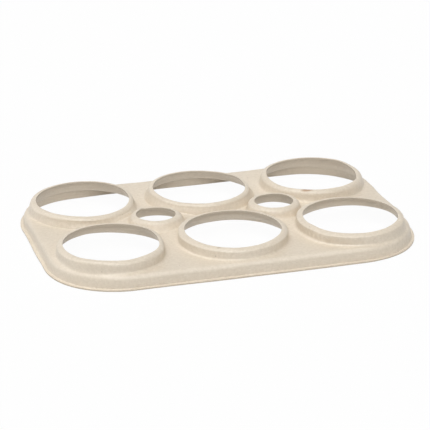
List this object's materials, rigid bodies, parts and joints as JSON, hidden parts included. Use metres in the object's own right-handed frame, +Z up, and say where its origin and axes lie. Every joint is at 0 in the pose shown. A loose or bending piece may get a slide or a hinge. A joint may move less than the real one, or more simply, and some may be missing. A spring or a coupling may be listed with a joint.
{
  "type": "can carrier ring",
  "caption": "Moulded bagasse carrier for drinks cans: a skirted tray with raised round collars that snap over the can ends, and smaller finger holes between them.",
  "frame": {"origin": "under the middle of the carrier, on the plane that its flange stands on", "axes": "+X along the rows of three can holes, +Y across the two rows, +Z up through the holes"},
  "size_m": [0.2052, 0.1386, 0.0137],
  "materials": {
    "moulded_bagasse": "matt pressed pulp"
  },
  "bodies": {
    "root": {"can_carrier": "moulded_bagasse"}
  },
  "joints": []
}
